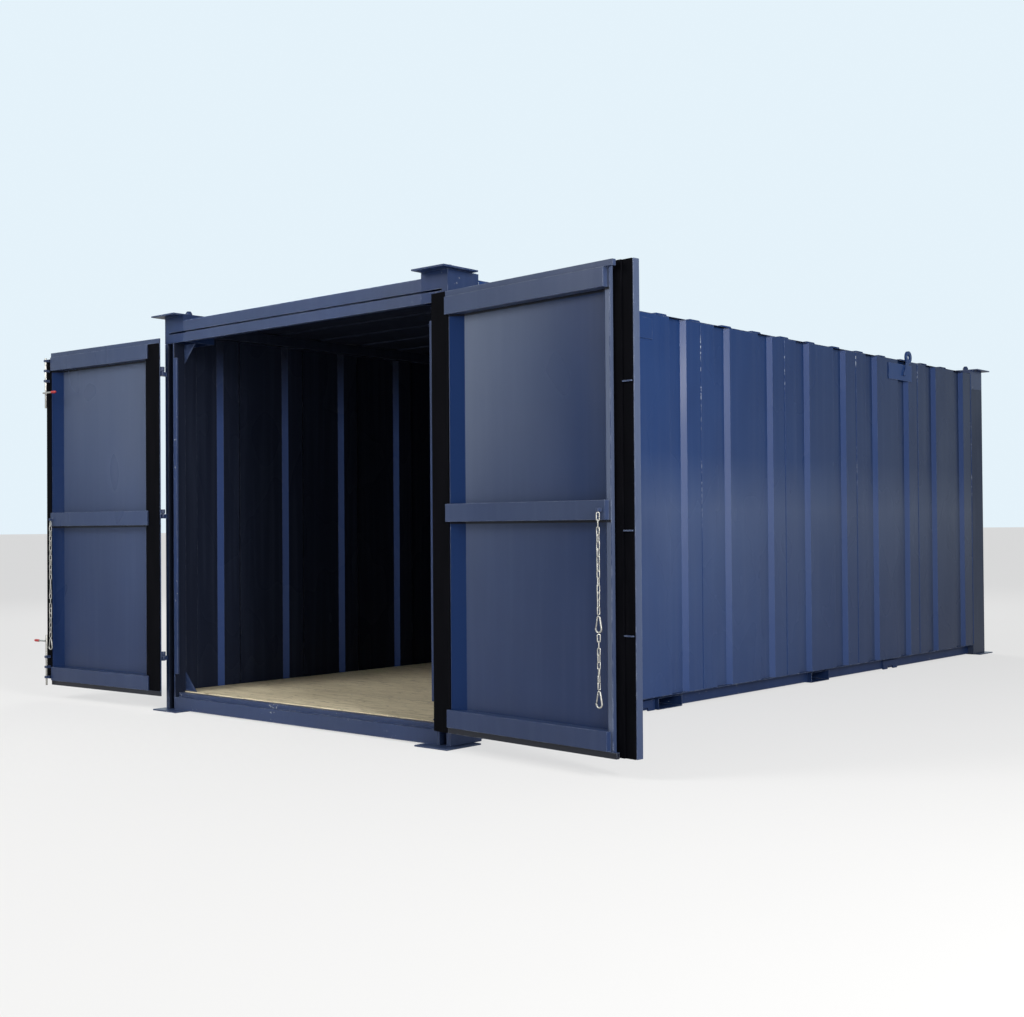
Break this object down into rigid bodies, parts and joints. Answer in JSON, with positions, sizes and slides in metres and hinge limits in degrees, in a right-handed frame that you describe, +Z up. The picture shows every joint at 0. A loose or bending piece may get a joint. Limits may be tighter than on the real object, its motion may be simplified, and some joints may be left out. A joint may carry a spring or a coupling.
{
  "type": "site storage container",
  "caption": "Welded steel storage container on corner plates, with corrugated walls, fork pockets, lifting eyes, stacking spigots and overlay doors standing open.",
  "frame": {"origin": "on the ground, in the middle of the rectangle of the stacking holes in the corner feet", "axes": "+X to the right seen from the doors, +Y from the doors into the container, +Z up"},
  "size_m": [4.4362, 6.2623, 2.235],
  "materials": {
    "navy_paint": "semi-gloss",
    "door_rubber": "matt",
    "floor_plywood": "worn",
    "zinc_steel": "galvanised"
  },
  "bodies": {
    "container": {"corner_feet": "navy_paint", "corner_heads": "navy_paint", "front_right_post": "navy_paint", "front_left_post": "navy_paint", "rear_right_post": "navy_paint", "rear_left_post": "navy_paint", "front_header": "navy_paint", "rear_header": "navy_paint", "front_sill": "navy_paint", "rear_sill": "navy_paint", "stop_strips": "navy_paint", "doorway_gussets": "navy_paint", "right_hinge_lugs": "navy_paint", "left_hinge_lugs": "navy_paint", "right_wall": "navy_paint", "left_wall": "navy_paint", "rear_wall": "navy_paint", "roof": "navy_paint", "top_rails": "navy_paint", "right_bottom_rail": "navy_paint", "left_bottom_rail": "navy_paint", "fork_pockets": "navy_paint", "cross_members": "navy_paint", "rail_feet": "navy_paint", "lifting_eyes": "navy_paint", "floor": "floor_plywood"},
    "right_door": {"right_door_leaf": "navy_paint", "right_door_rails": "navy_paint", "right_hinge_seal": "door_rubber", "right_hinge_knuckles": "navy_paint", "right_cover_strip": "navy_paint", "right_cover_seal": "door_rubber", "right_cover_plates": "navy_paint", "right_upper_chain": "zinc_steel", "right_lower_chain": "zinc_steel", "right_carabiners": "zinc_steel"},
    "left_door": {"left_door_leaf": "navy_paint", "left_door_rails": "navy_paint", "left_hinge_seal": "door_rubber", "left_free_seal": "door_rubber", "left_hinge_knuckles": "navy_paint", "left_bolt_guides": "navy_paint", "left_chain": "zinc_steel", "left_carabiner": "zinc_steel"},
    "upper_bolt": {"upper_bolt": "zinc_steel"},
    "lower_bolt": {"lower_bolt": "zinc_steel"}
  },
  "joints": [
    {"name": "right_door_hinge", "type": "hinge", "parent": "container", "child": "right_door", "pos_m": [1.07, -3.041, 0], "axis": [0, 0, 1], "range_deg": [-174.5, 35.5]},
    {"name": "left_door_hinge", "type": "hinge", "parent": "container", "child": "left_door", "pos_m": [-1.07, -3.041, 0], "axis": [0, 0, -1], "range_deg": [-176.6, 33.4]},
    {"name": "upper_bolt_slide", "type": "slide", "parent": "left_door", "child": "upper_bolt", "axis": [0, 0, 1], "range_m": [0, 0.042]},
    {"name": "lower_bolt_slide", "type": "slide", "parent": "left_door", "child": "lower_bolt", "axis": [0, 0, -1], "range_m": [0, 0.042]}
  ]
}
